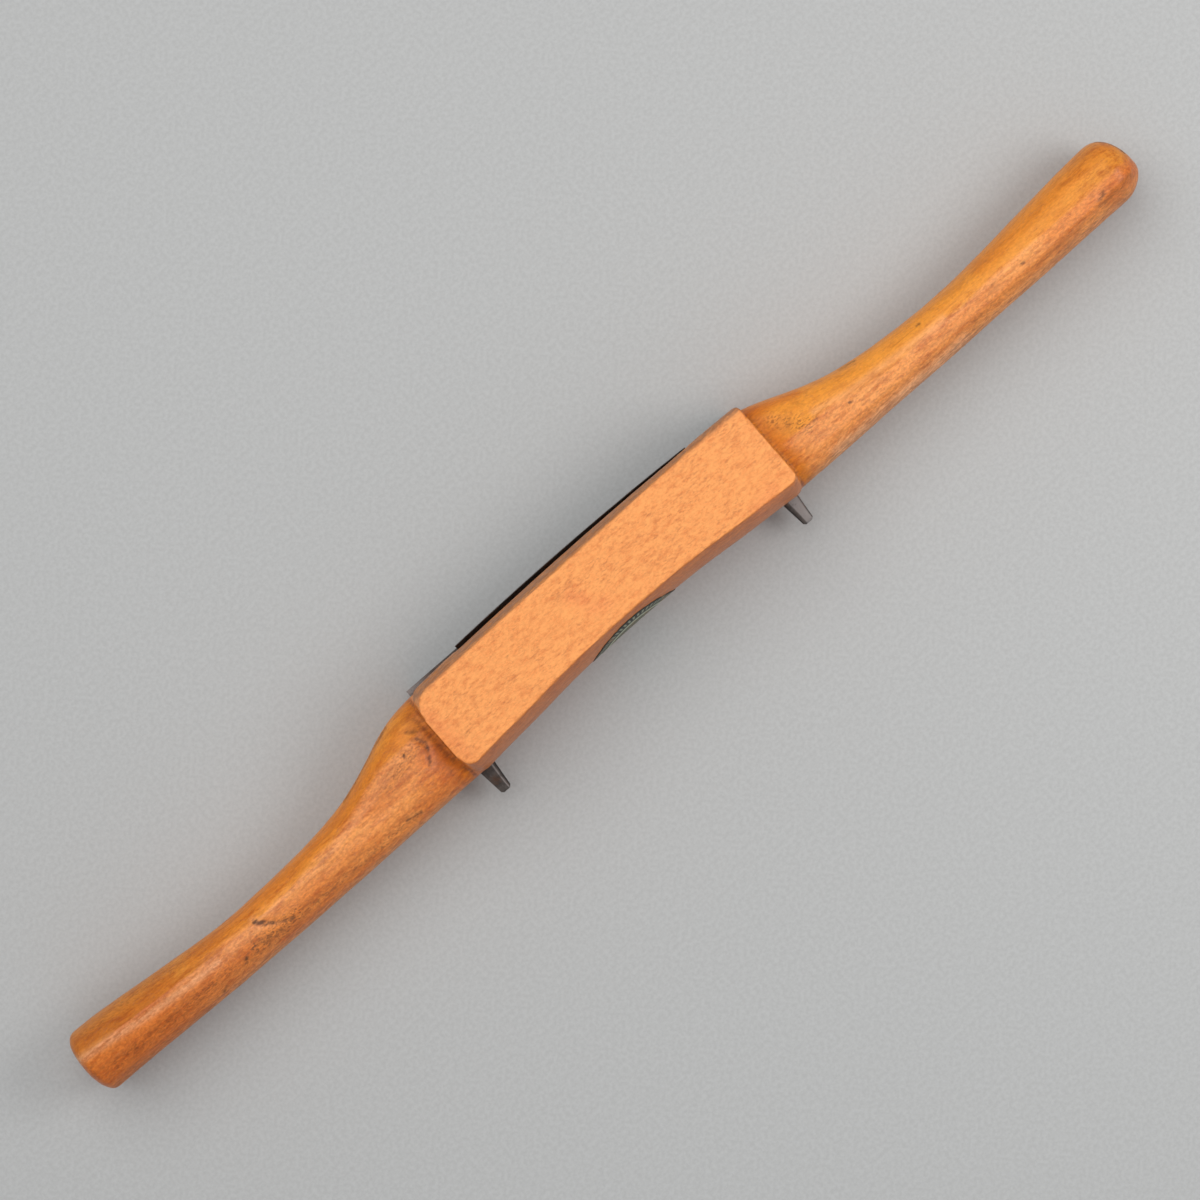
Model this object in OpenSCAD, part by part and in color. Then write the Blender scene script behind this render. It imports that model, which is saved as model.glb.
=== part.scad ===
// Wooden spokeshave: one piece of beech, a forged iron held by its two tangs, and a paper label.
// All sizes are in millimetres. The shave lies on its rear face, which is z = 0.
// +X runs along the tool to the right handle, +Y points to the sole, and +Z to the plain front.
// x = 0 lies midway between the tangs, and y = 0 is the tool's middle line.

/* [Block] */
// How far the raised front runs to the left of the middle
block_left = 45; // [45:0.1:60]
// How far the raised front runs to the right of the middle
block_right = 46; // [45:0.1:60]
// Depth of the block, from the rear face to the front
block_depth = 26; // [24:0.5:34]
// Height of the sole's crown above the middle line
sole_height = 11.7; // [11:0.1:14]
// How much the sole falls from its crown to the block's left end
sole_bow = 1.25; // [0.5:0.05:2.5]
// Where the sole's crown lies, since the left half is more worn
sole_crown_at = 5; // [-6:0.5:6]
// Depth of the top below the middle line, in the bottom of its dish
dish_height = 9.4; // [7:0.1:11]
// How much further out than the dish's bottom its rim lies at the block's left end
dish_depth = 2.9; // [1:0.1:4]
// Where the dish is deepest
dish_at = 1.8; // [-5:0.1:5]
// How far the crowned top falls away at its front and rear edges
crown_drop = 2.7; // [1:0.1:4]

/* [Worn edges] */
// How far the toe is worn away at the front's edge, measured from the sole's crown
toe_drop = 1.9; // [0.5:0.1:3]
// Length of the worn slope, back from the front
toe_run = 5; // [2:0.5:7]
// Slant of the worn edge along the tool, in degrees
toe_slant = 0.8; // [-1:0.1:1]
// Corner radius of the block at the left end of the sole
sole_corner_left = 3; // [0.5:0.1:4]
// Corner radius of the block at the right end of the sole
sole_corner_right = 0.8; // [0.5:0.1:4]
// Corner radius of the block at both ends of the top
top_corner = 2.4; // [0.5:0.1:4]

/* [Left handle] */
// Distance from the middle to the end of the left handle
left_reach = 147.4; // [120:0.1:200]
// Length in which half of the left neck's height is lost
left_neck = 24.8; // [15:0.1:32]
// How suddenly the left neck runs out, as a power
left_neck_power = 3.6; // [2:0.1:6]
// Depth of the left neck's top edge below the middle line, at the block
left_neck_top = 11.8; // [10:0.1:14]
// Distance from the middle to the slimmest place of the left handle
left_waist_at = 100; // [80:1:110]
// Depth of the left handle's top edge below the middle line, at the waist
left_top = 12.1; // [10:0.1:14]
// Height of the sole side above the middle line, at the left handle's end
left_end_sole = 3.9; // [0:0.1:8]
// How much the left top edge rises from the waist to the end
left_end_rise = 0.8; // [0:0.1:3]
// Length of the rounding at the left handle's end
left_end_round = 3; // [1:0.5:10]
// How square that rounding is, as a power
left_end_power = 2.6; // [2:0.1:5]

/* [Right handle] */
// Distance from the middle to the end of the right handle
right_reach = 143.5; // [120:0.1:200]
// Length in which half of the right neck's height is lost
right_neck = 19.2; // [15:0.1:32]
// How suddenly the right neck runs out, as a power
right_neck_power = 2.6; // [2:0.1:6]
// Depth of the right neck's top edge below the middle line, at the block
right_neck_top = 11.2; // [10:0.1:14]
// Distance from the middle to the slimmest place of the right handle
right_waist_at = 88; // [80:1:110]
// Depth of the right handle's top edge below the middle line, at the waist
right_top = 11.2; // [10:0.1:14]
// Height of the sole side above the middle line, at the right handle's end
right_end_sole = 3.6; // [0:0.1:8]
// How much the right top edge rises from the waist to the end
right_end_rise = 0.4; // [0:0.1:3]
// Length of the rounding at the right handle's end
right_end_round = 5.5; // [1:0.5:10]
// How square that rounding is, as a power
right_end_power = 2.1; // [2:0.1:5]

/* [Both handles] */
// Height of the sole side above the middle line, at the waist
waist_sole = -0.1; // [-3:0.1:4]
// How far the neck's front lies behind the block's front
shoulder_step = 4; // [2:0.5:8]
// Height of the neck's rear over the rear face
neck_rear = 0.3; // [0:0.1:2]
// Depth of the handle from front to rear, at the waist
waist_depth = 16.5; // [12:0.5:22]
// Height of the waist's rear over the rear face
waist_rear = 2.6; // [0.5:0.1:6]
// Depth of the handle from front to rear, at its end
grip_depth = 19.5; // [14:0.5:26]
// Height of the end's rear over the rear face
grip_rear = 1.2; // [0.5:0.1:6]

/* [Iron] */
// Length of the iron over its two tangs
iron_span = 89.6; // [84:0.1:89.7]
// Width of the cutting edge
cut_width = 63.5; // [50:0.5:66]
// How far the cutting part sits to the right of the tangs' middle
cut_shift = 1; // [-2:0.1:2]
// How far the edge's crown stands above the sole's crown
iron_proud = 0.65; // [0.2:0.05:2]
// Thickness of the cutting part
blade_thickness = 2.6; // [2:0.1:3.5]
// Thickness of the two ears that carry the tangs
ear_thickness = 2.4; // [1.5:0.1:3]
// How far the ears' lower face lies behind that of the cutting part
ear_step = 0.45; // [0:0.05:1]
// Radius of the cutting part's bow along its length
blade_bow_r = 750; // [500:10:2000]
// How far the iron is out of square with its tangs, in degrees
iron_tilt = -0.3; // [-0.5:0.05:0.5]
// Gap between the iron's rear edge and the plane of the rear face
iron_rear_gap = 1; // [0.5:0.1:3]
// Depth of the cutting part, from its rear edge to the cutting edge
blade_depth = 16; // [14:0.5:17]
// Depth of the ears
ear_depth = 12; // [10:0.5:13]
// Length of the ground bevel
bevel_length = 8; // [5:0.5:12]
// Thickness left at the cutting edge
edge_land = 0.15; // [0.1:0.05:0.4]

/* [Tangs] */
// Width of the square tangs at the ears
tang_root = 4.3; // [4.1:0.1:5.2]
// Width of the tangs where their points begin
tang_neck = 3.95; // [3.6:0.05:4.1]
// Width of the tangs at the tip
tang_tip = 2.5; // [1.5:0.1:3]
// Length of the tangs' tapered point
point_length = 7.3; // [5:0.1:10]
// Chamfer round the blunt tip
tip_chamfer = 0.45; // [0.1:0.05:0.8]
// How far the left tang stands out of the top
left_tang_out = 6.1; // [4:0.1:10]
// How far the right tang stands out of the top
right_tang_out = 6; // [4:0.1:10]

/* [Fits] */
// Clearance of a tang in its mortise, on each side
tang_gap = 0.1; // [0.05:0.01:0.3]
// Clearance round the ears in their rebate
ear_gap = 0.15; // [0.1:0.05:0.5]
// How far the iron can be driven in from here, until its ears meet the wood
drive_in = 0.6; // [0.2:0.1:1.5]
// Gap left between the ears and the wood when the iron is driven in
seat_gap = 0.1; // [0.05:0.05:0.3]
// Width of the mouth in front of the cutting edge
mouth = 1.2; // [0.6:0.1:2]
// Gap between the cutting part and the wood at each end of the mouth
mouth_end_gap = 0.5; // [0.3:0.1:1]

/* [Shavings hollow] */
// Radius of the scoop behind the mouth
scoop_r = 13.5; // [11:0.5:14]
// How far the scoop's axis lies outside the wood that the ears are driven against
scoop_out = 1.5; // [0.5:0.1:4]
// Distance of the scoop's axis from the rear face
scoop_in = 3.5; // [1:0.1:4]
// Radius of the scoop's two ends, seen from the rear
scoop_end_r = 8; // [3:0.5:12]
// How far the mouth's front wall runs into the scoop
mouth_fall = 5.5; // [3:0.5:8]

/* [Label] */
// Place of the label's middle along the tool
label_at = 0.4; // [-4:0.1:4]
// Length of the oval label
label_length = 23; // [15:0.5:34]
// Width of the oval label, over the crown of the top
label_width = 20; // [10:0.5:22]
// Thickness of the paper
label_thickness = 0.15; // [0.1:0.01:0.3]

/* [Hidden] */

$fn = 96;
big_arc_fn = 720;          // for arcs whose radius is many times the tool's height
label_points = 48;
ring_sides = 28;
ring_step = 4.4;           // spacing of the rings along a handle
end_rings = 6;             // rings in the rounding of a handle's end
last_ring = 0.08;          // size of the smallest ring, as a share of the section
neck_power_at_block = 3.6; // squareness of the neck's section at the block
grip_power = 2.3;          // squareness of the handle's section further out
neck_start_in = 7;         // the neck starts to fall this far inside the block
root_in = 12;              // the handles are let this far into the block
ear_lap = 2;               // how far the ears run into the cutting part
past = 1;                  // how far a cut runs past the face it leaves
far = 140;                 // longer than the block, for cuts that run right past it

block_length = block_left + block_right;
crown_z = block_depth / 2;
neck_front = block_depth - shoulder_step;

// Radius of an arc that falls by drop at half_span from its middle
function arc_radius(half_span, drop) = (half_span * half_span + drop * drop) / (2 * drop);
sole_r = arc_radius(block_left + sole_crown_at, sole_bow);
dish_r = arc_radius(block_left + dish_at, dish_depth);
crown_r = arc_radius(crown_z, crown_drop);

// Height of the sole and of the top, above the middle line, at a place along the tool
function sole_at(x) = sole_height - sole_r + sqrt(sole_r * sole_r - pow(x - sole_crown_at, 2));
function top_at(x) = -dish_height - dish_r + sqrt(dish_r * dish_r - pow(x - dish_at, 2));

// The iron's faces, as heights above the middle line. Its inner faces look up into the block.
blade_crown = sole_height + iron_proud;
blade_end = blade_crown - blade_bow_r + sqrt(pow(blade_bow_r, 2) - pow(cut_width / 2, 2));
ear_inner = blade_end - ear_step - ear_thickness;
tilt_rise = iron_span / 2 * sin(abs(iron_tilt));
bed_height = ear_inner - drive_in - tilt_rise - seat_gap;
cut_left = cut_shift - cut_width / 2;
cut_right = cut_shift + cut_width / 2;
edge_z = iron_rear_gap + blade_depth;
ear_front = iron_rear_gap + ear_depth;

// The tangs start in the middle of the ears and stand out of the top
tang_x = (iron_span - tang_root) / 2;
tang_z = iron_rear_gap + ear_depth / 2;
tang_from = ear_inner + ear_thickness / 2;
left_tang_length = tang_from - top_at(-tang_x) + left_tang_out;
right_tang_length = tang_from - top_at(tang_x) + right_tang_out;

// The mouth and the scoop
mouth_front = edge_z + mouth;
mouth_left = cut_left - mouth_end_gap;
mouth_width = cut_width + 2 * mouth_end_gap;
scoop_height = bed_height + scoop_out;
scoop_low = scoop_height - scoop_r;
mouth_foot = bed_height - mouth_fall;
foot_z = scoop_in + sqrt(pow(scoop_r, 2) - pow(scoop_height - mouth_foot, 2));

beech = "#c8843e";
steel = "#4a4643";
label_green = "#5d7560";

// The block

// Waste outside a rounded corner at [x, y]. sx and sy say which way the corner points.
module corner_waste(x, y, r, sx, sy) {
    translate([x - sx * r, y - sy * r])
        difference() {
            translate([sx > 0 ? 0 : -r - past, sy > 0 ? 0 : -r - past]) square(r + past);
            circle(r = r);
        }
}

// Outline of the block seen from the front, before the top is dished
module block_outline() {
    difference() {
        intersection() {
            translate([-block_left, top_at(-block_left)])
                square([block_length, sole_height - top_at(-block_left)]);
            translate([sole_crown_at, sole_height - sole_r]) circle(r = sole_r, $fn = big_arc_fn);
        }
        corner_waste(-block_left, sole_at(-block_left), sole_corner_left, -1, 1);
        corner_waste(block_right, sole_at(block_right), sole_corner_right, 1, 1);
        corner_waste(-block_left, top_at(-block_left), top_corner, -1, -1);
        corner_waste(block_right, top_at(block_right), top_corner, 1, -1);
    }
}

// Section of the space over the dished and crowned top, out from the axis of the dish
module over_top_section(skin = 0) {
    difference() {
        translate([dish_r - far / 2, -past])
            square([far / 2 + 2 * crown_drop, block_depth + 2 * past]);
        translate([dish_r + crown_r, crown_z]) circle(r = crown_r + skin, $fn = big_arc_fn);
    }
}

// Turns a section about the axis of the dish, which stands parallel to z below the top
module swing_over_top() {
    sweep = 2 * asin((block_length / 2 + abs(dish_at) + root_in) / dish_r);
    translate([dish_at, -dish_height - dish_r, 0])
        rotate([0, 0, 90 - sweep / 2])
            rotate_extrude(angle = sweep, $fn = big_arc_fn)
                children();
}

// The worn slope between the front and the sole
module toe_waste() {
    translate([0, sole_height - toe_drop, block_depth])
        rotate([0, 0, toe_slant])
            rotate([atan(toe_drop / toe_run), 0, 0])
                translate([-far / 2, 0, -far / 2]) cube(far);
}

// The handles

function blend(q) = let (c = min(max(q, 0), 1)) c * c * (3 - 2 * c);

// A size that goes from its value at the block, past the waist, to its value at the end
function along(at_block, at_waist, at_grip, fall, rise) =
    at_waist + (at_block - at_waist) * fall + (at_grip - at_waist) * rise;

function super(c, power) = sign(c) * pow(abs(c), 2 / power);

// One ring of the handle's skin: a rounded section across the tool at x
function ring(x, low, high, rear, front, power, size) = [
    for (i = [0 : ring_sides - 1])
        let (a = 360 * i / ring_sides)
        [
            x,
            (low + high) / 2 + (high - low) / 2 * size * super(cos(a), power),
            (rear + front) / 2 + (front - rear) / 2 * size * super(sin(a), power)
        ]
];

// A handle that runs to +X. end_x is where it ends and block_x where the block ends.
// block, waist and end each give the heights of the sole side and of the top side there.
module handle(block_x, end_x, neck, neck_power, waist_at, block, waist, end, end_round, end_power) {
    neck_x = block_x - neck_start_in;
    root_x = block_x - root_in;
    straight = end_x - end_round - root_x;
    steps = ceil(straight / ring_step);
    stations = concat(
        [for (i = [0 : steps]) root_x + straight * i / steps],
        [for (i = [1 : end_rings]) end_x - end_round + end_round * sin(90 * i / end_rings)]
    );
    rings = [
        for (x = stations)
            let (
                fall = 1 / (1 + pow(max(x - neck_x, 0) / neck, neck_power)),
                rise = blend((x - waist_at) / (end_x - waist_at)),
                into = max(x - end_x + end_round, 0) / end_round,
                size = max(pow(max(1 - pow(into, end_power), 0), 1 / end_power), last_ring)
            )
            ring(
                x,
                along(block[1], waist[1], end[1], fall, rise),
                along(block[0], waist[0], end[0], fall, rise),
                along(neck_rear, waist_rear, grip_rear, fall, rise),
                along(neck_front, waist_rear + waist_depth, grip_rear + grip_depth, fall, rise),
                along(neck_power_at_block, grip_power, grip_power, fall, rise),
                size
            )
    ];
    count = len(rings);
    points = [for (r = rings) each r];
    walls = [
        for (k = [0 : count - 2], i = [0 : ring_sides - 1])
            let (j = (i + 1) % ring_sides, a = k * ring_sides, b = a + ring_sides)
            each [[a + i, b + j, a + j], [a + i, b + i, b + j]]
    ];
    root_cap = [for (i = [0 : ring_sides - 1]) i];
    end_cap = [for (i = [0 : ring_sides - 1]) count * ring_sides - 1 - i];
    polyhedron(points = points, faces = concat([root_cap], walls, [end_cap]));
}

module right_handle() {
    handle(
        block_right, right_reach, right_neck, right_neck_power, right_waist_at,
        [sole_at(block_right), -right_neck_top],
        [waist_sole, -right_top],
        [right_end_sole, right_end_rise - right_top],
        right_end_round, right_end_power
    );
}

module left_handle() {
    mirror([1, 0, 0])
        handle(
            block_left, left_reach, left_neck, left_neck_power, left_waist_at,
            [sole_at(-block_left), -left_neck_top],
            [waist_sole, -left_top],
            [left_end_sole, left_end_rise - left_top],
            left_end_round, left_end_power
        );
}

// The seat of the iron

// Outline of a tang, from its root at y = 0 to its blunt tip
module tang_outline(length) {
    root = tang_root / 2;
    neck = tang_neck / 2;
    tip = tang_tip / 2;
    shank = length - point_length;
    polygon([
        [-root, 0], [root, 0], [neck, -shank], [tip, -length + tip_chamfer],
        [tip - tip_chamfer, -length], [-tip + tip_chamfer, -length],
        [-tip, -length + tip_chamfer], [-neck, -shank]
    ]);
}

// Outline of the mortise: the tang's shank with its taper run right through the wood
module mortise_outline(length) {
    shank = length - point_length;
    taper = (tang_root - tang_neck) / 2 / shank;
    wide = tang_root / 2 + tang_gap;
    narrow = wide - taper * length;
    polygon([[-wide, 0], [wide, 0], [narrow, -length], [-narrow, -length]]);
}

// A square bar that has the same outline seen from the front and from the side
module square_bar() {
    intersection() {
        linear_extrude(height = block_depth, center = true) children();
        rotate([0, 90, 0]) linear_extrude(height = block_depth, center = true) children();
    }
}

module mortise(x, length) {
    translate([x, tang_from, tang_z]) square_bar() mortise_outline(length);
}

// Space for the iron's ears, open to the rear and to the sole
module ear_rebate() {
    translate([-iron_span / 2 - ear_gap, bed_height, -past])
        cube([iron_span + 2 * ear_gap, far, ear_front + ear_gap + past]);
}

// Space through which a shaving passes over the cutting part and out at the rear
module shavings_hollow() {
    intersection() {
        translate([mouth_left, scoop_height, scoop_in])
            rotate([0, 90, 0]) cylinder(r = scoop_r, h = mouth_width);
        translate([0, 0, -past])
            linear_extrude(height = mouth_front + past)
                difference() {
                    translate([mouth_left, scoop_low]) square([mouth_width, far]);
                    corner_waste(mouth_left, scoop_low, scoop_end_r, -1, -1);
                    corner_waste(mouth_left + mouth_width, scoop_low, scoop_end_r, 1, -1);
                }
    }
    // The mouth, whose front wall slants back to the scoop
    translate([mouth_left, 0, 0])
        rotate([90, 0, 90])
            linear_extrude(height = mouth_width)
                polygon([
                    [mouth_foot, scoop_in], [mouth_foot, foot_z], [bed_height, mouth_front],
                    [far, mouth_front], [far, -past], [scoop_height, -past]
                ]);
}

// The pieces

module stock() {
    color(beech)
        difference() {
            union() {
                linear_extrude(height = block_depth) block_outline();
                right_handle();
                left_handle();
            }
            swing_over_top() over_top_section();
            toe_waste();
            ear_rebate();
            shavings_hollow();
            mortise(-tang_x, left_tang_length);
            mortise(tang_x, right_tang_length);
        }
}

// The bowed part of the iron, with the bevel ground on its inner face
module cutting_part() {
    sweep = 2 * asin((cut_width / 2 + abs(cut_shift) + past) / blade_bow_r);
    intersection() {
        translate([0, blade_crown - blade_bow_r, 0])
            rotate([0, 0, 90 - sweep / 2])
                rotate_extrude(angle = sweep, $fn = big_arc_fn)
                    polygon([
                        [blade_bow_r - blade_thickness, iron_rear_gap],
                        [blade_bow_r, iron_rear_gap],
                        [blade_bow_r, edge_z],
                        [blade_bow_r - edge_land, edge_z],
                        [blade_bow_r - blade_thickness, edge_z - bevel_length]
                    ]);
        translate([cut_left, 0, 0]) cube([cut_width, far, block_depth]);
    }
}

// One ear of the iron, between two places along the tool
module ear(from_x, to_x) {
    translate([from_x, ear_inner, iron_rear_gap]) cube([to_x - from_x, ear_thickness, ear_depth]);
}

module iron() {
    color(steel) {
        rotate([0, 0, iron_tilt]) {
            cutting_part();
            ear(-iron_span / 2, cut_left + ear_lap);
            ear(cut_right - ear_lap, iron_span / 2);
        }
        translate([-tang_x, tang_from, tang_z]) square_bar() tang_outline(left_tang_length);
        translate([tang_x, tang_from, tang_z]) square_bar() tang_outline(right_tang_length);
    }
}

module label() {
    color(label_green)
        intersection() {
            difference() {
                swing_over_top() over_top_section();
                swing_over_top() over_top_section(label_thickness);
            }
            translate([label_at, 0, crown_z])
                rotate([90, 0, 0])
                    linear_extrude(height = far)
                        polygon([
                            for (i = [0 : label_points - 1])
                                let (a = 360 * i / label_points)
                                [label_length / 2 * cos(a), label_width / 2 * sin(a)]
                        ]);
        }
}

stock();
iron();
label();
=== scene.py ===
# %% [markdown]
# # A wooden spokeshave
#
# A spokeshave is a small two-handled plane for rounding chair legs and wheel spokes. This one is
# the old wooden kind: one piece of beech, a forged iron let into its sole, and a paper label on
# its dished top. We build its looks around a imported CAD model. The CAD model says where each piece
# is and how it moves, and this script makes fine meshes in the same places and paints them.

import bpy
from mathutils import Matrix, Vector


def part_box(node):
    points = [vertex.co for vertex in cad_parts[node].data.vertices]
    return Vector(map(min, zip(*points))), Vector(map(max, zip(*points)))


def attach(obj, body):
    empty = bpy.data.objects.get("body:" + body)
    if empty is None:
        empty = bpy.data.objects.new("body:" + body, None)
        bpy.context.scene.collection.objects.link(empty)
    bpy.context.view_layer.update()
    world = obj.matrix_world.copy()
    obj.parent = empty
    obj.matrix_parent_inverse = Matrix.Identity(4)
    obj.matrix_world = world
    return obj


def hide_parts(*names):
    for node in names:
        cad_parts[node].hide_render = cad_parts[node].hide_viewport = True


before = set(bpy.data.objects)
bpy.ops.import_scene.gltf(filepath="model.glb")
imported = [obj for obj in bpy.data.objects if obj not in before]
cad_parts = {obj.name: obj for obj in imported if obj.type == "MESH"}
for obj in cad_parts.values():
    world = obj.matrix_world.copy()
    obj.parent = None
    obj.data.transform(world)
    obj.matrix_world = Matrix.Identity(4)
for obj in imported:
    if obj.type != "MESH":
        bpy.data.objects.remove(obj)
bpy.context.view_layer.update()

# %% Tools we use
import math

import bmesh
import bpy
import numpy as np
from mathutils import Vector, noise

MM = 0.001
stock_low, stock_high = (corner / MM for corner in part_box("stock"))
print("the stock reaches from", tuple(stock_low), "to", tuple(stock_high))

# %% [markdown]
# ## The camera
#
# The photograph looks straight down on the plain front of the tool, with the tool lying slantwise
# across a square picture. A long lens far away keeps the sides nearly parallel, as in the photo.
# We work the lens out from how many millimetres one pixel of the photo covers at mid depth.

# %% Camera
PHOTO_PIXELS = 1200
MM_PER_PIXEL = 0.21
TOOL_ANGLE = 41.25
CAMERA_DISTANCE = 900
SENSOR = 36
LOOK_AT = Vector((-1.5, -0.9, 12.5))

camera = bpy.data.objects.new("camera", bpy.data.cameras.new("camera"))
bpy.context.scene.collection.objects.link(camera)
camera.location = (LOOK_AT + Vector((0, 0, CAMERA_DISTANCE))) * MM
camera.rotation_euler = (0, 0, math.radians(-TOOL_ANGLE))
camera.data.sensor_width = SENSOR
camera.data.lens = SENSOR * CAMERA_DISTANCE / (PHOTO_PIXELS * MM_PER_PIXEL)
bpy.context.scene.camera = camera
print("lens", round(camera.data.lens, 1), "mm")

# %% [markdown]
# ## Small helpers for meshes
#
# Nearly every piece here is a loft: a row of rings, each with the same number of points, joined by
# quads and closed at both ends. A second helper bakes an object's modifiers into its mesh, and a
# third uses that to cut one piece with another. The others read and move points, and make smooth
# noise and soft steps.

# %% Mesh helpers
def loft(name, rings):
    """A closed mesh through rings, an array of ring, point and x, y, z in millimetres."""
    rings = np.asarray(rings, float)
    count, sides = rings.shape[:2]
    faces = [list(range(sides))]
    for k in range(count - 1):
        for i in range(sides):
            j = (i + 1) % sides
            faces.append([k * sides + i, k * sides + j, (k + 1) * sides + j, (k + 1) * sides + i])
    faces.append([(count - 1) * sides + i for i in range(sides)])
    mesh = bpy.data.meshes.new(name)
    mesh.from_pydata((rings.reshape(-1, 3) * MM).tolist(), [], faces)
    piece = bpy.data.objects.new(name, mesh)
    bpy.context.scene.collection.objects.link(piece)
    turn_faces_out(piece)
    return piece


def turn_faces_out(piece):
    """Turns every face of a closed mesh to look outwards."""
    work = bmesh.new()
    work.from_mesh(piece.data)
    bmesh.ops.recalc_face_normals(work, faces=work.faces)
    work.to_mesh(piece.data)
    work.free()


def settle(piece):
    """Bakes a piece's modifiers into its mesh."""
    bpy.context.view_layer.update()
    seen = piece.evaluated_get(bpy.context.evaluated_depsgraph_get())
    mesh = bpy.data.meshes.new_from_object(seen)
    piece.modifiers.clear()
    piece.data = mesh
    return piece


def combine(piece, other, operation):
    """Cuts, joins or crosses two closed pieces. The other one is used up."""
    step = piece.modifiers.new("combine", "BOOLEAN")
    step.operation = operation
    step.solver = "MANIFOLD"
    step.object = other
    settle(piece)
    bpy.data.objects.remove(other)
    return piece


def points_of(piece):
    """The piece's points in millimetres, as an array."""
    flat = np.empty(len(piece.data.vertices) * 3)
    piece.data.vertices.foreach_get("co", flat)
    return flat.reshape(-1, 3) / MM


def move_points(piece, points):
    piece.data.vertices.foreach_set("co", (points * MM).ravel())
    piece.data.update()


def normals_of(piece):
    flat = np.empty(len(piece.data.vertices) * 3)
    piece.data.vertex_normals.foreach_get("vector", flat)
    return flat.reshape(-1, 3)


def ripple(points, stretch, seed):
    """Smooth noise from about -1 to 1 at each point. Stretch gives its size in mm on each axis."""
    scaled = points / np.array(stretch) + seed
    return np.array([noise.noise(Vector(p)) for p in scaled])


def ease(value, start, end):
    """A smooth step from 0 at start to 1 at end."""
    q = np.clip((value - start) / (end - start), 0, 1)
    return q * q * (3 - 2 * q)


print("helpers ready")

# %% [markdown]
# ## The outline of the block
#
# The raised block in the middle has a bowed sole, a dished top that is also crowned from front to
# rear, and a worn slope along the front of the sole. The bow, the dish and the crown are arcs and
# the slope is flat, so three small functions say how high the wood is at any place along the tool.

# %% Sole, top and worn toe
BLOCK_LEFT, BLOCK_RIGHT = 45.2, 46.3
BLOCK_DEPTH = stock_high.z
SOLE_HEIGHT, SOLE_BOW, SOLE_CROWN_AT = 11.7, 1.25, 5.0
DISH_HEIGHT, DISH_DEPTH, DISH_AT, CROWN_DROP = 9.4, 2.9, 1.8, 2.7
SAG, SAG_AT, SAG_LENGTH = 0.3, 29.0, 9.0
TOE_DROP, TOE_RUN, TOE_SLANT = 1.9, 5.0, 0.8
SOLE_CORNERS, TOP_CORNERS, TOE_CORNER = (3.0, 0.8), (3.3, 2.4), 5.0
CROWN_Z = BLOCK_DEPTH / 2


def arc_radius(half_span, drop):
    return (half_span ** 2 + drop ** 2) / (2 * drop)


SOLE_R = arc_radius(BLOCK_LEFT + SOLE_CROWN_AT, SOLE_BOW)
DISH_R = arc_radius(BLOCK_LEFT + DISH_AT, DISH_DEPTH)
CROWN_R = arc_radius(CROWN_Z, CROWN_DROP)


def sole_at(x):
    return SOLE_HEIGHT - SOLE_R + np.sqrt(SOLE_R ** 2 - (x - SOLE_CROWN_AT) ** 2)


def top_at(x, z=CROWN_Z):
    """Height of the top. On both sides of its middle the old wood sags a little below the arc."""
    out = DISH_R + CROWN_R - np.sqrt(CROWN_R ** 2 - (z - CROWN_Z) ** 2)
    sag = SAG * np.exp(-((np.abs(x - DISH_AT) - SAG_AT) / SAG_LENGTH) ** 2)
    return -DISH_HEIGHT - DISH_R + np.sqrt(out ** 2 - (x - DISH_AT) ** 2) - sag


def toe_at(x, z):
    """Height of the worn slope, which only counts where it is below the sole."""
    return SOLE_HEIGHT - TOE_DROP + math.tan(math.radians(TOE_SLANT)) * x \
        + (BLOCK_DEPTH - z) * TOE_DROP / TOE_RUN


print("radii of sole, dish and crown:", round(SOLE_R), round(DISH_R), round(CROWN_R, 1))

# %% [markdown]
# We loft the block from left to right. Each ring goes up the sole, over the front, down the
# crowned top and back along the rear. Rings stand closer together near the two ends, where the
# corners are rounded.

# %% Block
RISE_POINTS, ACROSS_POINTS = 27, 7
END_ZONE, END_RINGS, MIDDLE_FROM, MIDDLE_RINGS = 3, 9, 4, 82


def corner_loss(distance, radius):
    """How much a rounded corner takes away, at a distance from the block's end."""
    d = min(distance, radius)
    return radius - math.sqrt(radius ** 2 - (radius - d) ** 2)


def block_ring(x):
    left, right = x + BLOCK_LEFT, BLOCK_RIGHT - x
    sole_loss = corner_loss(left, SOLE_CORNERS[0]) + corner_loss(right, SOLE_CORNERS[1])
    top_loss = corner_loss(left, TOP_CORNERS[0]) + corner_loss(right, TOP_CORNERS[1])
    up = np.linspace(0, BLOCK_DEPTH, RISE_POINTS)
    sole = np.minimum(sole_at(x) - sole_loss, toe_at(x, up) - corner_loss(left, TOE_CORNER))
    top = top_at(x, up) + top_loss
    across = np.linspace(0, 1, ACROSS_POINTS + 2)[1:-1]
    front = sole[-1] + (top[-1] - sole[-1]) * across
    rear = top[0] + (sole[0] - top[0]) * across
    y = np.concatenate([sole, front, top[::-1], rear])
    z = np.concatenate([up, np.full(ACROSS_POINTS, BLOCK_DEPTH), up[::-1], np.zeros(ACROSS_POINTS)])
    return np.stack([np.full(len(y), x), y, z], axis=1)


near_ends = END_ZONE * (1 - np.cos(np.linspace(0, math.pi / 2, END_RINGS)))
middle_rings = np.linspace(-BLOCK_LEFT + MIDDLE_FROM, BLOCK_RIGHT - MIDDLE_FROM, MIDDLE_RINGS)
stations = np.concatenate([-BLOCK_LEFT + near_ends, middle_rings, (BLOCK_RIGHT - near_ends)[::-1]])
stock = loft("stock_wood", [block_ring(x) for x in stations])
print("block:", len(stock.data.vertices), "points")

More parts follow.
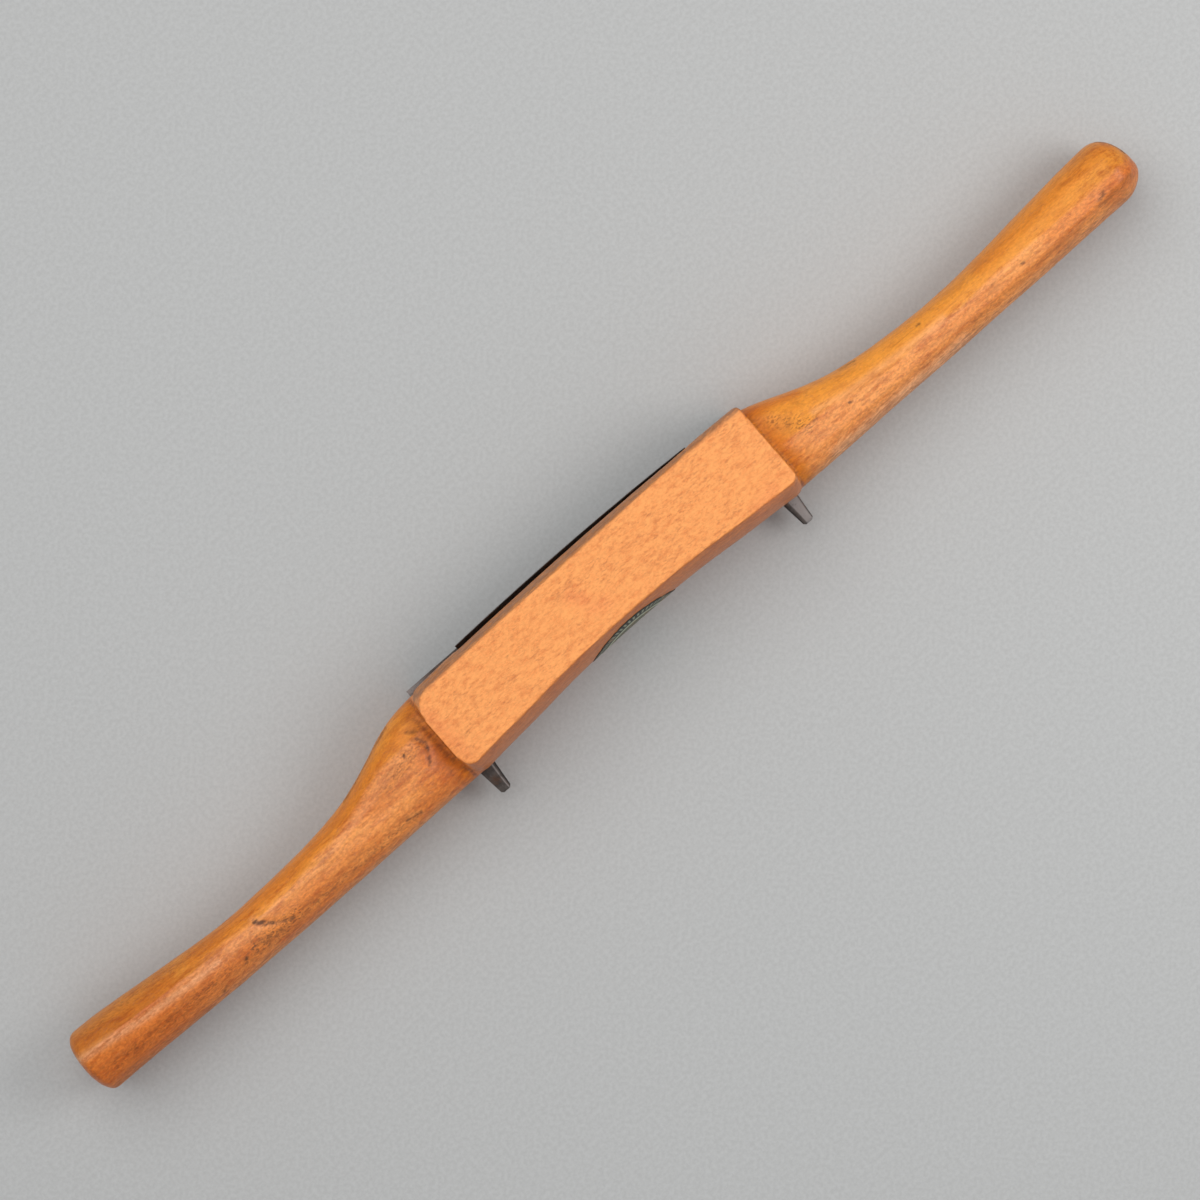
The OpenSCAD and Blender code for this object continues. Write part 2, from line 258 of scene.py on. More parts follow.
# %% [markdown]
# ## The handles
#
# Each handle leaves the block as a deep neck, thins to a waist and swells again to its end. The
# section is a superellipse: a power of 2 gives a round, and a larger one a squarer shape. The maker
# rasped the handles by eye and left soft arrises along the front, which we raise as narrow crests.
# Next to the block the neck dips, where the shoulder was cut in, and its sole side sits lower too.

# %% Handle section
NECK_START_IN, ROOT_IN, NECK_FRONT = 7.0, 12.0, BLOCK_DEPTH - 4
WAIST_SOLE, NECK_REAR, WAIST_REAR, GRIP_REAR = -0.1, 0.3, 2.6, 1.2
WAIST_DEPTH, GRIP_DEPTH = 16.5, 19.5
NECK_POWER, GRIP_POWER = 3.6, 2.3
DIP, DIP_LENGTH = 1.3, 3.6
SADDLE, SADDLE_LENGTH = 0.3, 8.0
SIDES, SMALLEST_RING = 144, 0.03


def along(at_block, at_waist, at_grip, fall, rise):
    return at_waist + (at_block - at_waist) * fall + (at_grip - at_waist) * rise


def rounded(angle_part, power):
    return np.sign(angle_part) * np.abs(angle_part) ** (2 / power)


def handle_ring(side, x, limits, power, size, crests, dip, tip_shift):
    """One ring. Limits are its low, high, rear and front places; the rest shape it."""
    low, high, rear, front = limits
    angle = np.linspace(0, 2 * math.pi, SIDES, endpoint=False)
    middle, half = (low + high) / 2 + tip_shift, (high - low) / 2 * size
    y = middle + half * rounded(np.cos(angle), power)
    up = rounded(np.sin(angle), power)
    z = (rear + front) / 2 + (front - rear) / 2 * size * up
    raised = -dip
    for place, height, width in crests:
        raised = raised + height * size * np.exp(-np.abs(y - middle - place * half) / width)
    z += np.clip(up, 0, 1) ** 0.5 * raised
    if abs(x) < BLOCK_LEFT + ROOT_IN:
        y = np.maximum(y, top_at(side * x, np.clip(z, 0, BLOCK_DEPTH)))
    return np.stack([np.full(SIDES, side * x), y, z], axis=1)


print("a ring has", SIDES, "points")

# %% Handles
RING_STEP, ROUNDING_RINGS, TIP_BEND = 1.0, 22, 6


def handle_rings(side, block_x, end_x, shape):
    """The rings of one handle, from inside the block to the end."""
    end_round, end_power = shape["round"]
    neck, neck_power = shape["neck"]
    straight = np.arange(block_x - ROOT_IN, end_x - end_round, RING_STEP)
    rounding = end_x - end_round * (1 - np.sin(np.linspace(0, math.pi / 2, ROUNDING_RINGS)))
    rings = []
    for x in np.concatenate([straight, rounding]):
        fall = 1 / (1 + (max(x - block_x + NECK_START_IN, 0) / neck) ** neck_power)
        rise = ease(x, shape["waist_at"], end_x)
        into = min(max(x - end_x + end_round, 0) / end_round, 1)
        size = max((1 - into ** end_power) ** (1 / end_power), SMALLEST_RING)
        saddle = SADDLE * math.exp(-(max(x - block_x, 0) / SADDLE_LENGTH) ** 2)
        limits = (
            along(shape["neck_top"], shape["top"][0], shape["top"][1], fall, rise),
            along(sole_at(side * block_x), WAIST_SOLE, shape["end_sole"], fall, rise) - saddle,
            along(NECK_REAR, WAIST_REAR, GRIP_REAR, fall, rise),
            along(NECK_FRONT, WAIST_REAR + WAIST_DEPTH, GRIP_REAR + GRIP_DEPTH, fall, rise),
        )
        power = along(NECK_POWER, GRIP_POWER, GRIP_POWER, fall, rise)
        crests = [
            (place, (1 - fall) * (at_waist + (at_end - at_waist) * rise), width)
            for place, at_waist, at_end, width in shape["crests"]
        ]
        dip = DIP * math.exp(-(max(x - block_x, 0) / DIP_LENGTH) ** 2)
        shift = shape["tip_shift"] * into ** TIP_BEND
        rings.append(handle_ring(side, x, limits, power, size, crests, dip, shift))
    return rings


# A crest is its place across the handle, its height at the waist and at the end, and its width.
LEFT_SHAPE = {
    "neck": (24.8, 3.6), "neck_top": -11.8, "waist_at": 100, "top": (-12.1, -11.1), "end_sole": 3.8,
    "round": (3, 2.6), "tip_shift": 0, "crests": [(0.27, 0.4, 1.4, 1.6), (-0.35, 0.2, 0.3, 1.8)],
}
RIGHT_SHAPE = {
    "neck": (19.2, 2.6), "neck_top": -11.2, "waist_at": 88, "top": (-11.2, -10.8), "end_sole": 3.6,
    "round": (6.5, 2.1), "tip_shift": -1.8, "crests": [(-0.06, 0.3, 0.6, 1.4), (-0.48, 0.3, 1.0, 1.5)],
}
left = loft("left", handle_rings(-1, BLOCK_LEFT, -stock_low.x, LEFT_SHAPE))
right = loft("right", handle_rings(1, BLOCK_RIGHT, stock_high.x, RIGHT_SHAPE))
print("handles:", len(left.data.vertices) + len(right.data.vertices), "points")

# %% [markdown]
# ## The shavings hollow
#
# Behind the mouth a scoop, as wide as the mouth, is cut into the rear of the block. It is a lying
# cylinder with rounded ends. We cross a cylinder with an outline, then take the result out of the
# block.

# %% Shavings hollow
CUT_LEFT, CUT_RIGHT, MOUTH_END_GAP = -30.75, 32.75, 0.5
BLADE_CROWN, BLADE_THICKNESS, BLADE_BOW_R = 12.35, 2.6, 750.0
EAR_STEP, EAR_THICKNESS, IRON_TILT, IRON_SPAN = 0.45, 2.4, -0.3, 89.6
DRIVE_IN, SEAT_GAP, EDGE_Z, MOUTH = 0.6, 0.1, 17.0, 1.2
BOW = BLADE_BOW_R - math.sqrt(BLADE_BOW_R ** 2 - ((CUT_RIGHT - CUT_LEFT) / 2) ** 2)
EAR_INNER = BLADE_CROWN - BOW - EAR_STEP - EAR_THICKNESS
TILT_RISE = IRON_SPAN / 2 * math.sin(math.radians(abs(IRON_TILT)))
BED_HEIGHT = EAR_INNER - DRIVE_IN - TILT_RISE - SEAT_GAP
SCOOP_R, SCOOP_OUT, SCOOP_IN, SCOOP_END_R, MOUTH_FALL = 13.5, 1.5, 3.5, 8.0, 5.5
SCOOP_POINTS, BEND_POINTS = 160, 24
BEYOND, BEHIND = 20.0, -1.0
MOUTH_LEFT, MOUTH_RIGHT = CUT_LEFT - MOUTH_END_GAP, CUT_RIGHT + MOUTH_END_GAP
MOUTH_FRONT = EDGE_Z + MOUTH
SCOOP_Y = BED_HEIGHT + SCOOP_OUT


def prism(name, outline, axis, start, end):
    """Pushes an outline of two coordinates along the third axis, given as 0, 1 or 2."""
    rings = []
    for place in np.linspace(start, end, 2):
        rings.append(np.insert(np.asarray(outline, float), axis, place, axis=1))
    return loft(name, rings)


def scoop():
    turn = np.linspace(0, 2 * math.pi, SCOOP_POINTS, endpoint=False)
    circle = np.stack([SCOOP_Y + SCOOP_R * np.cos(turn), SCOOP_IN + SCOOP_R * np.sin(turn)], axis=1)
    cylinder = prism("scoop", circle, 0, MOUTH_LEFT, MOUTH_RIGHT)
    low = SCOOP_Y - SCOOP_R
    bend = np.linspace(math.pi, 1.5 * math.pi, BEND_POINTS)
    left_end = np.stack([np.cos(bend), np.sin(bend)], axis=1) * SCOOP_END_R \
        + [MOUTH_LEFT + SCOOP_END_R, low + SCOOP_END_R]
    right_end = left_end[::-1] * [-1, 1] + [MOUTH_LEFT + MOUTH_RIGHT, 0]
    outline = np.concatenate([left_end, right_end, [[MOUTH_RIGHT, BEYOND], [MOUTH_LEFT, BEYOND]]])
    return combine(cylinder, prism("ends", outline, 2, BEHIND, MOUTH_FRONT), "INTERSECT")


def mouth_slot():
    foot = BED_HEIGHT - MOUTH_FALL
    foot_z = SCOOP_IN + math.sqrt(SCOOP_R ** 2 - (SCOOP_Y - foot) ** 2)
    outline = [
        [foot, SCOOP_IN], [foot, foot_z], [BED_HEIGHT, MOUTH_FRONT], [BEYOND, MOUTH_FRONT],
        [BEYOND, BEHIND], [SCOOP_Y, BEHIND],
    ]
    return prism("mouth", outline, 0, MOUTH_LEFT, MOUTH_RIGHT)


combine(stock, scoop(), "DIFFERENCE")
print("block with its hollow:", len(stock.data.vertices), "points")

# %% [markdown]
# ## One piece of wood, with worn edges
#
# Block and handles are one piece of beech, so no seam may show. A voxel remesh melts them into one
# skin of small even faces, and a little smoothing takes the sharpness off every edge, as a century
# of use does. After that the small faces let us press dents and ripples into the wood.

# %% Melt block and handles together
VOXEL = 0.4
SMOOTHINGS, SMOOTH_SHARE = 2, 0.5


def join(pieces, name):
    with bpy.context.temp_override(
        active_object=pieces[0], selected_objects=pieces, selected_editable_objects=pieces
    ):
        bpy.ops.object.join()
    pieces[0].name = name
    return pieces[0]


stock = join([stock, left, right], "stock_wood")
melt = stock.modifiers.new("melt", "REMESH")
melt.mode = "VOXEL"
melt.voxel_size = VOXEL * MM
soften = stock.modifiers.new("soften", "SMOOTH")
soften.factor = SMOOTH_SHARE
soften.iterations = SMOOTHINGS
settle(stock)
print("melted skin:", len(stock.data.vertices), "points")

# %% [markdown]
# Ripples follow the grain, so they are long along the tool and short across it. Dents are pressed
# where the photograph shows bruises. The front edge of the sole is rubbed down and chipped, and the
# sole in front of the mouth is worn a little hollow. The flat rear stays true, and the seat of the
# iron is cut later.

# %% Ripples, chips and dents
DENTS = [
    # half width, depth, and the points of the mark seen from the front
    (0.8, 0.35, [(-49.3, 2.6), (-48.6, 0.6), (-49.2, -1.2), (-50.6, -3.4)]),
    (0.5, 0.18, [(-53.6, 1.7), (-53.9, 1.5)]),
    (0.9, 0.25, [(-99.9, -3.7), (-98.3, -5.6)]),
    (0.5, 0.18, [(-98.3, -5.6), (-96.8, -6.7), (-94.9, -7.8), (-93.1, -8.6)]),
    (0.5, 0.30, [(64.9, -4.3), (65.4, -4.4)]),
    (1.0, 0.15, [(132.4, -6.6), (134.4, -6.8)]),
    (0.5, 0.45, [(46.0, 6.3), (46.1, 7.1)]),
    (0.4, 0.20, [(-107.0, -9.4), (-106.3, -8.6)]),
]
WAVE_HEIGHT, WAVE_SIZE = 0.14, (16, 4, 4)
RIPPLE_HEIGHT, HANDLE_RIPPLE, RIPPLE_SIZE = 0.02, 0.03, (4, 1.3, 1.3)
TOE_WEAR, TOE_CHIPS, CHIP_SIZE, TOE_REACH = 0.14, 0.16, (1.6, 0.8, 0.8), 0.7
LIP_WEAR = 0.28


def near_marks(points, marks):
    """How deep or strong the marks are at each point. Marks are lines with soft edges."""
    value = np.zeros(len(points))
    flat = points[:, :2]
    for width, strength, line in marks:
        nearest = np.full(len(points), 1e9)
        for start, end in zip(np.array(line[:-1]), np.array(line[1:])):
            step = end - start
            share = np.clip((flat - start) @ step / (step @ step), 0, 1)
            nearest = np.minimum(nearest, np.linalg.norm(flat - start - share[:, None] * step, axis=1))
        value = np.maximum(value, strength * np.exp(-(nearest / width) ** 2))
    return value


def wear_wood(piece):
    """Moves each point along the way it faces, by ripples, wear and dents."""
    points, facing = points_of(piece), normals_of(piece)
    x, y, z = points.T
    handles = ease(np.abs(x), 44, 60)
    free = 1 - ease(-facing[:, 2], 0.6, 0.9)
    depth = handles * WAVE_HEIGHT * ripple(points, WAVE_SIZE, seed=3.1)
    depth += (RIPPLE_HEIGHT + HANDLE_RIPPLE * handles) * ripple(points, RIPPLE_SIZE, seed=9.7)
    toe = np.exp(-((y - toe_at(x, z)) / TOE_REACH) ** 2)
    toe *= ease(z, 19, 22) * (1 - handles)
    depth += toe * (TOE_CHIPS * ripple(points, CHIP_SIZE, seed=5.3) - TOE_WEAR)
    lip = ease(y, 8, 10) * ease(z, 15, 17) * (1 - ease(z, 21, 24))
    depth -= LIP_WEAR * lip * (1 - ease(np.abs(x - 1), 30, 36))
    depth -= near_marks(points, DENTS) * ease(facing[:, 2], 0.1, 0.5)
    depth *= free
    moved = points + facing * depth[:, None]
    low, high = np.array(stock_low), np.array(stock_high)
    move_points(piece, np.clip(moved, low, high))


wear_wood(stock)
print("worn:", len(DENTS), "dents")

# %% [markdown]
# ## The seat of the iron
#
# These cuts were chopped to fit the iron, so they come last and stay crisp: a rebate for the ears,
# the mouth in front of the cutting edge, and a tapered square mortise for each tang.

# %% Rebate, mouth and mortises
IRON_REAR_GAP, EAR_DEPTH, EAR_GAP = 1.0, 12.0, 0.15
TANG_ROOT, TANG_NECK, TANG_TIP, POINT_LENGTH, TIP_CHAMFER = 4.3, 3.95, 2.5, 7.3, 0.45
TANG_GAP = 0.1
SHARP_WOOD = 50
TANG_FROM = EAR_INNER + EAR_THICKNESS / 2
TANG_OUT = (6.1, 6.0)
TANG_X = (IRON_SPAN - TANG_ROOT) / 2
TANG_Z = IRON_REAR_GAP + EAR_DEPTH / 2


def tang_length(side):
    return TANG_FROM - top_at(side * TANG_X) + TANG_OUT[0 if side < 0 else 1]


def square_ring(x, y, z, half):
    corners = [(-half, -half), (half, -half), (half, half), (-half, half)]
    return [[x + along_x, y, z + up] for along_x, up in corners]


def mortise(side):
    length = tang_length(side)
    wide = TANG_ROOT / 2 + TANG_GAP
    narrow = wide - (TANG_ROOT - TANG_NECK) / 2 / (length - POINT_LENGTH) * length
    x = side * TANG_X
    return loft("mortise", [
        square_ring(x, TANG_FROM, TANG_Z, wide), square_ring(x, TANG_FROM - length, TANG_Z, narrow),
    ])


rebate_end = IRON_SPAN / 2 + EAR_GAP
rebate = prism(
    "rebate",
    [[-rebate_end, BED_HEIGHT], [rebate_end, BED_HEIGHT], [rebate_end, BEYOND], [-rebate_end, BEYOND]],
    2, BEHIND, IRON_REAR_GAP + EAR_DEPTH + EAR_GAP,
)
for tool in (rebate, mouth_slot(), mortise(-1), mortise(1)):
    combine(stock, tool, "DIFFERENCE")
stock.data.set_sharp_from_angle(angle=math.radians(SHARP_WOOD))
print("stock:", len(stock.data.vertices), "points")

# %% [markdown]
# ## The iron
#
# The smith made the iron in one: a thin bowed cutting part with a bevel on its inner face, two
# lower ears, and two square tangs that taper to blunt points. We build five closed solids, fuse
# them, and let a bevel modifier break the edges as the file did.

# %% Iron
BEVEL_LENGTH, EDGE_LAND, EAR_LAP = 8.0, 0.15, 2.0
ARRIS = 0.8
FILED_WIDTH, FILED_SEGMENTS, FILED_ANGLE, SHARP_STEEL = 0.16, 2, 35, 40


def blade_ring(x):
    section = [
        [BLADE_BOW_R - BLADE_THICKNESS, IRON_REAR_GAP], [BLADE_BOW_R, IRON_REAR_GAP],
        [BLADE_BOW_R, EDGE_Z], [BLADE_BOW_R - EDGE_LAND, EDGE_Z],
        [BLADE_BOW_R - BLADE_THICKNESS, EDGE_Z - BEVEL_LENGTH],
    ]
    middle = BLADE_CROWN - BLADE_BOW_R
    return [[x, middle + math.sqrt(out ** 2 - x ** 2), z] for out, z in section]


def ear(start, end):
    outline = [
        [start, EAR_INNER], [end, EAR_INNER],
        [end, EAR_INNER + EAR_THICKNESS], [start, EAR_INNER + EAR_THICKNESS],
    ]
    return prism("ear", outline, 2, IRON_REAR_GAP, IRON_REAR_GAP + EAR_DEPTH)


def tang_ring(side, y, half, arris):
    """A square section whose front edge on the inner side is filed away."""
    x, inner = side * TANG_X, -side
    return [
        [x - inner * half, y, TANG_Z - half], [x + inner * half, y, TANG_Z - half],
        [x + inner * half, y, TANG_Z + half - arris], [x + inner * (half - arris), y, TANG_Z + half],
        [x - inner * half, y, TANG_Z + half],
    ]


def tang(side):
    length = tang_length(side)
    tip = TANG_TIP / 2
    places = [
        (0, TANG_ROOT / 2), (-length + POINT_LENGTH, TANG_NECK / 2),
        (-length + TIP_CHAMFER, tip), (-length, tip - TIP_CHAMFER),
    ]
    return loft("tang", [
        tang_ring(side, TANG_FROM + y, half, ARRIS * half / tip / 2) for y, half in places
    ])


def forge_iron():
    blade = loft("iron_forged", [blade_ring(x) for x in np.linspace(CUT_LEFT, CUT_RIGHT, 90)])
    for start, end in ((-IRON_SPAN / 2, CUT_LEFT + EAR_LAP), (CUT_RIGHT - EAR_LAP, IRON_SPAN / 2)):
        combine(blade, ear(start, end), "UNION")
    points = points_of(blade)
    tilt = math.radians(IRON_TILT)
    turned = points.copy()
    turned[:, 0] = points[:, 0] * math.cos(tilt) - points[:, 1] * math.sin(tilt)
    turned[:, 1] = points[:, 0] * math.sin(tilt) + points[:, 1] * math.cos(tilt)
    move_points(blade, turned)
    for side in (-1, 1):
        combine(blade, tang(side), "UNION")
    return blade


iron = forge_iron()
edges = iron.modifiers.new("file_edges", "BEVEL")
edges.width = FILED_WIDTH * MM
edges.segments = FILED_SEGMENTS
edges.limit_method = "ANGLE"
edges.angle_limit = math.radians(FILED_ANGLE)
settle(iron)
iron.data.set_sharp_from_angle(angle=math.radians(SHARP_STEEL))
print("iron:", len(iron.data.vertices), "points")

# %% [markdown]
# ## The label
#
# A paper oval is glued to the crowned top. Paper has next to no thickness, so it is a thin closed
# skin that follows the wood, with an edge that wanders a little where it has frayed.

# %% Label
LABEL_AT, LABEL_LENGTH, LABEL_WIDTH, PAPER = 0.4, 23.0, 20.0, 0.13
LABEL_RINGS, LABEL_POINTS, INNER_SHARE, FRAY = 26, 144, 0.02, 0.018


def label_ring(share, lift):
    turn = np.linspace(0, 2 * math.pi, LABEL_POINTS, endpoint=False)
    fray = 1 - FRAY * np.abs(np.sin(7 * turn) * np.sin(17 * turn + 1)) * share ** 4
    x = LABEL_AT + LABEL_LENGTH / 2 * share * fray * np.cos(turn)
    z = CROWN_Z + LABEL_WIDTH / 2 * share * fray * np.sin(turn)
    return np.stack([x, top_at(x, z) - lift, z], axis=1)


shares = np.linspace(INNER_SHARE, 1, LABEL_RINGS)
label = loft("label_paper",
             [label_ring(s, PAPER) for s in shares] + [label_ring(s, -PAPER) for s in shares[::-1]])
print("label:", len(label.data.vertices), "points")

# %% [markdown]
# ## Small helpers for finishes
#
# A finish is a tree of nodes. The class below adds one node at a time and links it, so that a
# finish reads like a recipe. All patterns take their place from the piece itself, in millimetres,
# so they stay put when the piece moves.

# %% Finish helpers
class Recipe:
    """One material, built node by node."""

    def __init__(self, name):
        self.material = bpy.data.materials.new(name)
        self.material.use_nodes = True
        self.tree = self.material.node_tree
        self.tree.nodes.clear()
        self.surface = self.add("ShaderNodeBsdfPrincipled")
        output = self.add("ShaderNodeOutputMaterial")
        self.tree.links.new(self.surface.outputs[0], output.inputs["Surface"])
        place = self.add("ShaderNodeTexCoord").outputs["Object"]
        self.place = self.vector("SCALE", place, scale=1 / MM)

    def add(self, kind, **settings):
        node = self.tree.nodes.new(kind)
        for key, value in settings.items():
            setattr(node, key, value)
        return node

    def put(self, socket, value):
        """Links an output to a socket, or writes a plain value on it."""
        if isinstance(value, bpy.types.NodeSocket):
            self.tree.links.new(value, socket)
        else:
            socket.default_value = value

    def vector(self, operation, a, b=None, scale=None):
        node = self.add("ShaderNodeVectorMath", operation=operation)
        self.put(node.inputs[0], a)
        if b is not None:
            self.put(node.inputs[1], b)
        if scale is not None:
            self.put(node.inputs["Scale"], scale)
        return node.outputs[0]

    def math(self, operation, a, b=0.0):
        node = self.add("ShaderNodeMath", operation=operation)
        self.put(node.inputs[0], a)
        self.put(node.inputs[1], b)
        return node.outputs[0]

    def between(self, value, start, end, low=0.0, high=1.0):
        """Goes from low to high as a value goes from start to end, and stays there beyond."""
        node = self.add("ShaderNodeMapRange", interpolation_type="SMOOTHSTEP")
        for socket, number in zip(node.inputs, (value, start, end, low, high)):
            self.put(socket, number)
        return node.outputs[0]

    def noise(self, grain, detail=3.0, roughness=0.5, shift=0.0):
        """Noise whose features are grain millimetres long on each axis."""
        moved = self.vector("ADD", self.place, (shift, shift * 2, shift * 3))
        place = self.vector("DIVIDE", moved, grain)
        node = self.add("ShaderNodeTexNoise")
        self.put(node.inputs["Vector"], place)
        node.inputs["Scale"].default_value = 1.0
        node.inputs["Detail"].default_value = detail
        node.inputs["Roughness"].default_value = roughness
        return node.outputs["Fac"]

    def mix(self, share, a, b, blend="MIX"):
        node = self.add("ShaderNodeMix", data_type="RGBA", blend_type=blend)
        for name, value in (("Factor_Float", share), ("A_Color", a), ("B_Color", b)):
            socket = next(s for s in node.inputs if s.identifier == name)
            if isinstance(value, tuple):
                value = (*value, 1.0)
            self.put(socket, value)
        return next(s for s in node.outputs if s.identifier == "Result_Color")

    def painted(self, name):
        """A value that the script painted on the mesh's points."""
        return self.add("ShaderNodeAttribute", attribute_name=name).outputs["Fac"]

    def relief(self, height, distance):
        node = self.add("ShaderNodeBump")
        node.inputs["Strength"].default_value = 1.0
        node.inputs["Distance"].default_value = distance * MM
        self.put(node.inputs["Height"], height)
        self.put(self.surface.inputs["Normal"], node.outputs[0])

    def finish(self, **sockets):
        for name, value in sockets.items():
            socket = self.surface.inputs[name.replace("_", " ").title().replace("Ior", "IOR")]
            if isinstance(value, tuple):
                value = (*value, 1.0)
            self.put(socket, value)
        return self.material


def paint(piece, name, values):
    """Stores one number on each point of a piece for its finish to read."""
    layer = piece.data.attributes.new(name, "FLOAT", "POINT")
    layer.data.foreach_set("value", np.clip(values, 0, 1).astype(np.float32))


print("finish helpers ready")

# %% [markdown]
# ## Where the wood is varnished, worn and dirty
#
# The plain front was rubbed nearly bare and shows the pale wood, with a few reddish blushes. The
# handles keep a golden varnish. Dirt gathers in bruises and along the worn toe, and some patches
# are full of small dark specks. The corners of the shoulders, the sides of the handles and the sole
# beside the left ear are darkened with dirt and painted shade. Some zones of the varnish are deeper,
# and next to the left shoulder they and some stains also carry painted shade. Arrises are rubbed
# paler, with a painted highlight along them. We paint all these masks on the mesh's points.

# %% Paint the masks
STAINS_AND_SHOULDER_SHADE = [
    # half width, strength, and the points of the mark seen from the front
    (0.6, 0.55, [(-49.3, 2.6), (-48.6, 0.6), (-49.2, -1.2), (-50.6, -3.4)]),
    (0.35, 0.75, [(-48.3, 0.8), (-48.9, -1.0)]),
    (0.6, 0.45, [(-50.0, 4.9), (-48.2, 3.6)]),
    # painted shade along the left shoulder
    (1.0, 0.40, [(-47.0, 7.0), (-46.4, -6.0)]),
    (0.35, 0.75, [(-53.4, 1.9), (-53.7, 1.3)]),
    (0.9, 0.16, [(-61.5, -1.6), (-57.5, -1.2)]),
    (0.8, 0.14, [(-66.0, 1.0), (-60.0, -3.4)]),
    (0.65, 0.85, [(-99.9, -3.9), (-98.3, -5.6)]),
    (0.36, 0.90, [(-98.3, -5.6), (-96.8, -6.7), (-94.9, -7.8), (-93.1, -8.6)]),
    (0.8, 0.50, [(-101.8, -6.8), (-100.6, -8.8)]),
    (0.7, 0.50, [(-99.8, -8.4), (-96.8, -8.8)]),
    (1.3, 0.30, [(-102.5, -8.0), (-92.0, -9.0), (-86.0, -8.6)]),
    (0.9, 0.22, [(-86.0, -8.6), (-72.0, -7.6)]),
    (0.4, 0.8, [(-107.0, -9.3), (-106.0, -8.3)]),
    (0.5, 0.55, [(-114.6, -10.6), (-113.2, -10.4)]),
    (0.5, 0.20, [(-84.0, -5.6), (-76.0, -4.6)]),
    (1.2, 0.20, [(-130.0, -8.0), (-114.0, -8.6)]),
    (1.0, 0.26, [(-146.0, -5.8), (-134.0, -6.6), (-119.0, -6.9)]),
    (0.45, 0.60, [(-62.0, -8.9), (-58.6, -9.5)]),
    (1.6, 0.26, [(-112.0, -9.4), (-70.0, -9.6)]),
    # painted shade along the left shoulder, on its lower part
    (1.2, 0.34, [(-48.6, -7.6), (-48.2, -10.6)]),
    (0.3, 0.95, [(64.6, -4.25), (65.2, -4.45)]),
    (0.2, 0.35, [(65.4, -4.2), (66.8, -3.7)]),
    (0.75, 0.55, [(131.6, -6.9), (133.2, -6.3)]),
    (0.45, 0.55, [(86.0, -1.4), (86.6, -1.5)]),
    (0.5, 0.4, [(103.0, -5.4), (103.9, -5.4)]),
    (0.4, 0.6, [(110.5, -6.2), (111.2, -6.2)]),
    (1.5, 0.22, [(86.0, -6.6), (94.0, -8.0)]),
    (1.0, 0.28, [(62.0, -8.9), (128.0, -8.6)]),
    (1.1, 0.38, [(131.0, -8.0), (140.0, -7.4)]),
    (0.45, 0.75, [(139.9, 3.0), (141.4, 1.3), (142.3, -0.8), (142.7, -2.9)]),
    (0.45, 0.7, [(-69.6, 2.8), (-63.3, 5.0), (-57.0, 7.4), (-52.8, 8.7)]),
    (0.6, 0.22, [(68.0, -7.4), (84.0, -7.6)]),
    (0.5, 0.55, [(68.0, 2.5), (71.5, 1.75)]),
    (0.5, 0.35, [(51.5, 0.6), (53.2, 1.6)]),
    (0.6, 0.25, [(56.0, 3.4), (57.4, 1.4)]),
    (0.35, 0.45, [(56.4, -2.3), (57.4, -2.1)]),
    (1.2, 0.22, [(48.0, 4.0), (52.0, -2.0)]),
    (0.3, 0.60, [(-40.3, -3.4), (-40.0, -3.6)]),
    (0.22, 0.5, [(-23.8, 2.8), (-23.3, 2.9)]),
    (0.25, 0.45, [(-6.0, 5.7), (-5.6, 5.6)]),
    (0.3, 0.30, [(-10.0, 3.2), (-9.2, 3.1)]),
    (0.35, 0.22, [(1.0, 1.6), (2.6, 1.9)]),
    (0.4, 0.22, [(17.5, 5.7), (19.5, 5.5)]),
    (0.35, 0.28, [(20.0, -0.2), (21.0, -0.3)]),
]
BLUSHES = [
    # faint reddish places on the bare front
    (1.8, 1.0, [(-5.4, 3.6), (-4.2, 1.4)]),
    (1.7, 0.8, [(-3.6, -1.2), (-1.0, -2.2)]),
    (2.0, 0.8, [(36.0, -8.6), (40.0, -7.6)]),
    (1.6, 0.7, [(-44.0, 5.0), (-43.0, -6.0)]),
]
DEEPS_AND_SHOULDER_SHADE = [
    # broad darker and redder zones of the varnish, with painted shade on the neck beside the left shoulder
    (3.0, 0.50, [(-146, -7.2), (-112, -8.0)]),
    (3.0, 0.60, [(-112, -8.3), (-70, -8.6)]),
    (2.4, 0.80, [(-107, -8.6), (-82, -8.6)]),
    (2.0, 0.62, [(-115, -1.0), (-100, -1.2), (-87, -0.8), (-73, 0.6), (-60.5, 3.5), (-52, 5)]),
    (2.2, 0.75, [(-146, 1.0), (-131, -1.0), (-122, -1.4)]),
    # painted shade on the neck beside the left shoulder
    (4.2, 0.95, [(-49, -2.0), (-49, -11)]),
    (3.0, 0.70, [(-53, -5.5), (-53, -9.0)]),
    (2.2, 0.90, [(-57, -9.6), (-50, -9.4)]),
    (1.5, 1.00, [(-98, -10.5), (-70, -10.5)]),
    (1.5, 0.70, [(-70, -10.5), (-50, -10.5)]),
    (3.0, 0.40, [(-58, -2.0), (-66, -3.0)]),
    (1.4, 0.55, [(62, -8.7), (120, -8.7)]),
    (2.4, 0.85, [(134, -7.4), (142, -6.2)]),
    (2.0, 0.40, [(124, -7.6), (134, -7.6)]),
    (2.4, 0.55, [(120, -6.2), (131, -6.6)]),
    (1.8, 0.45, [(104, -1.0), (126, 0.3), (141, 0.8)]),
    (1.2, 0.75, [(47, 8.3), (51.6, 6.8), (57.8, 4.8)]),
]
SPECKLES = [
    # patches of small dark specks
    (2.4, 0.8, [(-103, -8.2), (-92, -8.8)]),
    (1.6, 0.55, [(-92, -9.2), (-60, -9.4)]),
    (2.6, 0.50, [(-60, -1.2), (-50, 1.5)]),
    (2.6, 0.60, [(50, 3.4), (55, -2.0)]),
    (1.6, 0.30, [(62, -8.0), (128, -8.0)]),
    (2.0, 0.55, [(-142, -7.2), (-110, -8.2)]),
    (2.4, 0.40, [(-144, 1.5), (-112, 0.5)]),
]
